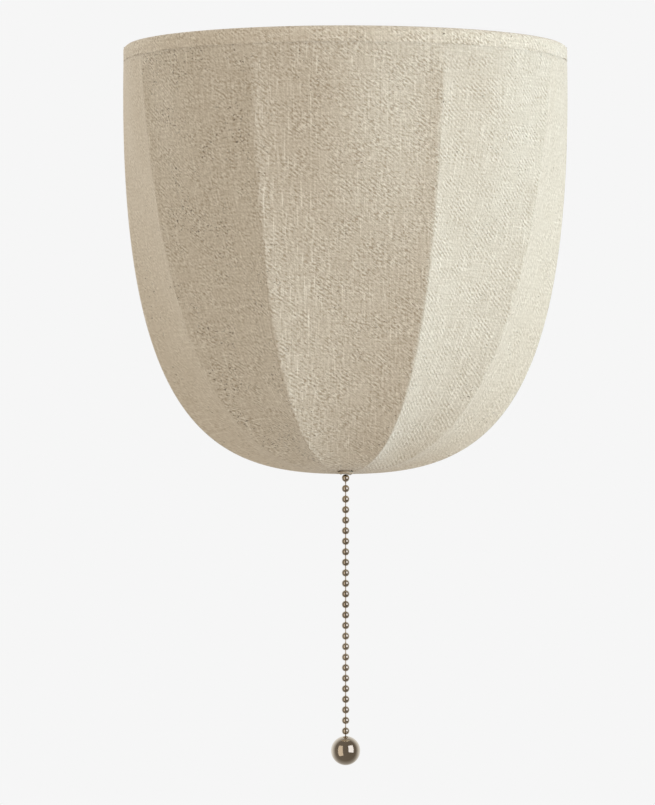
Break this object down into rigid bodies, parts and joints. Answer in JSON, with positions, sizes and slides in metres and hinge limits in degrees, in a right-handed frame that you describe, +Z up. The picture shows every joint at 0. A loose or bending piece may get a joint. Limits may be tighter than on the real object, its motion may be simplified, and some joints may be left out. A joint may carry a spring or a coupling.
{
  "type": "wall light",
  "caption": "Half-round wall light with a panelled linen shade drawn over a wire frame, a bulb inside and a bead pull chain with a metal ball.",
  "frame": {"origin": "middle of the two wall screws, on the wall plane", "axes": "+Z up, -Y out of the wall into the room, +X to the right seen from the room"},
  "size_m": [0.1868, 0.0934, 0.3021],
  "materials": {
    "zinc_steel": "zinc plated, satin",
    "black_rubber": "matte",
    "white_plastic": "satin",
    "white_holder": "semi gloss",
    "brass": "satin",
    "ceramic": "glazed",
    "white_wire": "semi gloss",
    "linen": "twill linen, matte",
    "linen_binding": "folded linen, matte",
    "nickel": "polished nickel",
    "black_glass": "gloss",
    "solder": "dull",
    "bulb_glass": "clear",
    "filament": "coated",
    "spring_steel": "bright",
    "grey_plastic": "satin",
    "lead_brown": "satin",
    "lead_blue": "satin"
  },
  "bodies": {
    "root": {"wall_bracket": "zinc_steel", "cable_grommet": "black_rubber", "terminal_block": "white_plastic", "terminal_screws": "brass", "earth_terminal": "brass", "holder_arm": "zinc_steel", "arm_screws": "zinc_steel", "nipple": "brass", "nipple_nut": "zinc_steel", "holder_base": "white_holder", "holder_shell": "white_holder", "holder_insert": "ceramic", "holder_screw_shell": "brass", "holder_tongue": "brass", "carrier_ring": "white_wire", "shade_ring": "white_holder", "carrier_wire_left": "white_wire", "carrier_wire_right": "white_wire", "carrier_wire_rear": "white_wire", "top_hoop": "white_wire", "back_bow": "white_wire", "back_bar": "white_wire", "rib_outer_left": "white_wire", "rib_inner_left": "white_wire", "rib_inner_right": "white_wire", "rib_outer_right": "white_wire", "bottom_plate": "zinc_steel", "chain_eyelet": "nickel", "panel_wall_left": "linen", "panel_side_left": "linen", "panel_front": "linen", "panel_side_right": "linen", "panel_wall_right": "linen", "top_hem": "linen_binding", "back_tape": "linen_binding", "bottom_patch": "linen", "switch_housing": "white_plastic", "switch_cover": "white_plastic", "switch_screws": "zinc_steel", "switch_barrel": "brass", "barrel_nut": "zinc_steel", "return_spring": "spring_steel", "rotor_pin": "brass", "contact_live": "brass", "contact_load": "brass", "lead_live": "lead_brown", "lead_neutral": "lead_blue", "lead_switched": "lead_brown"},
    "bulb": {"bulb_cap": "nickel", "bulb_insulator": "black_glass", "bulb_contact": "solder", "bulb_glass": "bulb_glass", "bulb_filament": "filament"},
    "puller": {"switch_plunger": "grey_plastic", "chain_upper": "nickel"},
    "rotor": {"switch_rotor": "grey_plastic"},
    "chain_joint": {"chain_exit_bead": "nickel"},
    "pull_chain": {"chain_lower": "nickel"},
    "knob": {"pull_knob": "nickel"}
  },
  "joints": [
    {"name": "bulb_lift", "type": "slide", "parent": "root", "child": "bulb", "axis": [0, 0, 1], "range_m": [0, 0.024]},
    {"name": "chain_pull", "type": "slide", "parent": "root", "child": "puller", "axis": [0, 0, -1], "range_m": [0, 0.008], "stiffness_N_per_m": 400, "springref_m": -0.006, "deforming": ["return_spring"]},
    {"name": "rotor_turn", "type": "hinge", "parent": "root", "child": "rotor", "pos_m": [0.0077, -0.0095, -0.0305], "axis": [0, 1, 0], "range_deg": [0, 106]},
    {"name": "chain_swing_side", "type": "hinge", "parent": "puller", "child": "chain_joint", "pos_m": [0, -0.0095, -0.0872], "axis": [0, 1, 0], "range_deg": [-35, 35]},
    {"name": "chain_swing_out", "type": "hinge", "parent": "chain_joint", "child": "pull_chain", "pos_m": [0, -0.0095, -0.0872], "axis": [-1, 0, 0], "range_deg": [-1.2, 35]},
    {"name": "knob_spin", "type": "hinge", "parent": "pull_chain", "child": "knob", "pos_m": [0, -0.0095, -0.201], "axis": [0, 0, 1], "continuous": true}
  ],
  "couplings": [
    {"joint": "rotor_turn", "follows": "chain_pull", "rad_per_m": 227.27}
  ]
}
